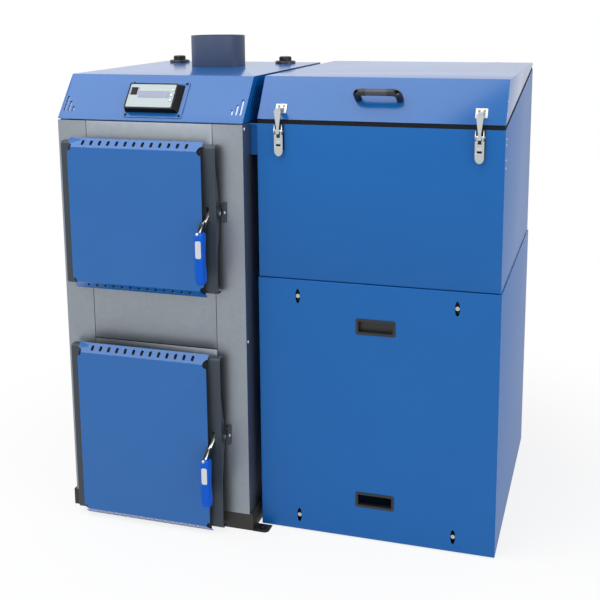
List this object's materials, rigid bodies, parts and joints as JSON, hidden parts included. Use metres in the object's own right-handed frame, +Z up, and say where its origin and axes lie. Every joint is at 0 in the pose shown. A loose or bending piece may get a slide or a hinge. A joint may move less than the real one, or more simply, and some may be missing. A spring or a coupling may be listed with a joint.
{
  "type": "pellet boiler",
  "caption": "Free-standing pellet boiler: steel boiler cabinet with two insulated doors and a sloped control hood, beside a blue pellet hopper with lid, latches, auger and burner.",
  "frame": {"origin": "on the floor, under the middle of the object's bounding box", "axes": "+X to the right seen from the doors, from the boiler to the hopper; +Y to the rear; +Z up. The doors face -Y."},
  "size_m": [1.315, 1, 1.45],
  "materials": {
    "blue_front": "semi-gloss powder coat",
    "galvanised": "galvanised sheet",
    "black_paint": "matt black paint",
    "door_grey": "satin dark blue-grey paint",
    "vessel_grey": "satin grey heat-proof paint",
    "flue_grey": "satin grey-blue heat-proof paint",
    "cast_iron": "raw casting",
    "zinc": "zinc plated",
    "steel": "plain steel",
    "black_plastic": "fine-grained black plastic",
    "gasket_rubber": "matt black foam rubber",
    "rope": "braided glass rope",
    "refractory": "cast fireproof board",
    "grip_blue": "glossy blue plastic",
    "light_plastic": "satin light grey plastic",
    "display": "glossy display glass"
  },
  "bodies": {
    "cabinets": {"ash_pan": "steel", "auger_motor": "black_paint", "auger_tube": "steel", "base_frame": "black_paint", "bin_shell": "blue_front", "boiler_vessel": "vessel_grey", "burner_box": "steel", "burner_nozzle": "cast_iron", "casing_screws": "zinc", "control_face": "light_plastic", "control_housing": "black_plastic", "display_window": "display", "fan_motor": "black_paint", "floor_bracket": "black_paint", "flue_spigot": "flue_grey", "grate": "cast_iron", "hinge_brackets": "zinc", "hood": "blue_front", "hopper_frame": "black_paint", "hopper_funnel": "galvanised", "latch_keepers": "door_grey", "left_side_panel": "galvanised", "lid_hinges": "zinc", "lower_casing": "blue_front", "lower_front_panel": "galvanised", "panel_studs": "zinc", "pipe_sockets": "steel", "rear_panel": "galvanised", "right_side_panel": "galvanised", "socket_caps": "black_plastic", "toggle_bases": "zinc", "upper_front_panel": "galvanised"},
    "upper_door": {"upper_door_body": "door_grey", "upper_door_cover": "blue_front", "upper_door_seal": "rope", "upper_door_refractory": "refractory"},
    "lower_door": {"lower_door_body": "door_grey", "lower_door_cover": "blue_front", "lower_door_seal": "rope", "lower_door_refractory": "refractory"},
    "upper_latch": {"upper_latch_lever": "zinc", "upper_latch_grip": "grip_blue"},
    "lower_latch": {"lower_latch_lever": "zinc", "lower_latch_grip": "grip_blue"},
    "lid": {"lid": "blue_front", "lid_gasket": "gasket_rubber", "lid_handle": "black_plastic", "toggle_strikes": "zinc"},
    "left_toggle": {"left_toggle_lever": "zinc"},
    "right_toggle": {"right_toggle_lever": "zinc"},
    "left_arm": {"left_draw_arm": "zinc"},
    "right_arm": {"right_draw_arm": "zinc"},
    "service_panel": {"service_panel": "blue_front", "panel_handles": "black_plastic"},
    "rocker": {"rocker_switch": "black_plastic"},
    "lower_button": {"lower_button": "light_plastic"},
    "middle_button": {"middle_button": "light_plastic"},
    "upper_button": {"upper_button": "light_plastic"},
    "auger": {"auger_screw": "steel"},
    "fan": {"burner_fan": "steel"}
  },
  "joints": [
    {"name": "upper_door_swing", "type": "hinge", "parent": "cabinets", "child": "upper_door", "pos_m": [-0.5985, -0.408, 0.952], "axis": [0, 0, -1], "range_deg": [0, 100]},
    {"name": "lower_door_swing", "type": "hinge", "parent": "cabinets", "child": "lower_door", "pos_m": [-0.5985, -0.408, 0.28], "axis": [0, 0, -1], "range_deg": [0, 100]},
    {"name": "upper_latch_turn", "type": "hinge", "parent": "upper_door", "child": "upper_latch", "pos_m": [-0.1575, -0.406, 0.972], "axis": [-1, 0, 0], "range_deg": [0, 60]},
    {"name": "lower_latch_turn", "type": "hinge", "parent": "lower_door", "child": "lower_latch", "pos_m": [-0.1575, -0.406, 0.3], "axis": [-1, 0, 0], "range_deg": [0, 60]},
    {"name": "lid_lift", "type": "hinge", "parent": "cabinets", "child": "lid", "pos_m": [0.3095, 0.493, 1.338], "axis": [-1, 0, 0], "range_deg": [0, 75]},
    {"name": "left_toggle_swing", "type": "hinge", "parent": "cabinets", "child": "left_toggle", "pos_m": [0.0305, -0.35, 1.203], "axis": [-1, 0, 0], "range_deg": [0, 90]},
    {"name": "left_arm_swing", "type": "hinge", "parent": "left_toggle", "child": "left_arm", "pos_m": [0.0305, -0.35, 1.19], "axis": [-1, 0, 0], "range_deg": [-90, 0]},
    {"name": "right_toggle_swing", "type": "hinge", "parent": "cabinets", "child": "right_toggle", "pos_m": [0.5885, -0.35, 1.203], "axis": [-1, 0, 0], "range_deg": [0, 90]},
    {"name": "right_arm_swing", "type": "hinge", "parent": "right_toggle", "child": "right_arm", "pos_m": [0.5885, -0.35, 1.19], "axis": [-1, 0, 0], "range_deg": [-90, 0]},
    {"name": "service_panel_pull", "type": "slide", "parent": "cabinets", "child": "service_panel", "axis": [0, -1, 0], "range_m": [0, 0.2]},
    {"name": "rocker_tilt", "type": "hinge", "parent": "cabinets", "child": "rocker", "pos_m": [-0.406, -0.34942, 1.3049], "axis": [1, 0, 0], "range_deg": [-6, 6]},
    {"name": "lower_button_press", "type": "slide", "parent": "cabinets", "child": "lower_button", "axis": [0, 0.7784, -0.6278], "range_m": [0, 0.001], "stiffness_N_per_m": 400},
    {"name": "middle_button_press", "type": "slide", "parent": "cabinets", "child": "middle_button", "axis": [0, 0.7784, -0.6278], "range_m": [0, 0.001], "stiffness_N_per_m": 400},
    {"name": "upper_button_press", "type": "slide", "parent": "cabinets", "child": "upper_button", "axis": [0, 0.7784, -0.6278], "range_m": [0, 0.001], "stiffness_N_per_m": 400},
    {"name": "auger_spin", "type": "hinge", "parent": "cabinets", "child": "auger", "pos_m": [0.0585, -0.088, 0.262], "axis": [1, 0, 0], "continuous": true},
    {"name": "fan_spin", "type": "hinge", "parent": "cabinets", "child": "fan", "pos_m": [0.0125, -0.192, 0.214], "axis": [0, 1, 0], "continuous": true}
  ],
  "couplings": [
    {"joint": "left_arm_swing", "follows": "left_toggle_swing", "ratio": -1},
    {"joint": "right_arm_swing", "follows": "right_toggle_swing", "ratio": -1}
  ]
}
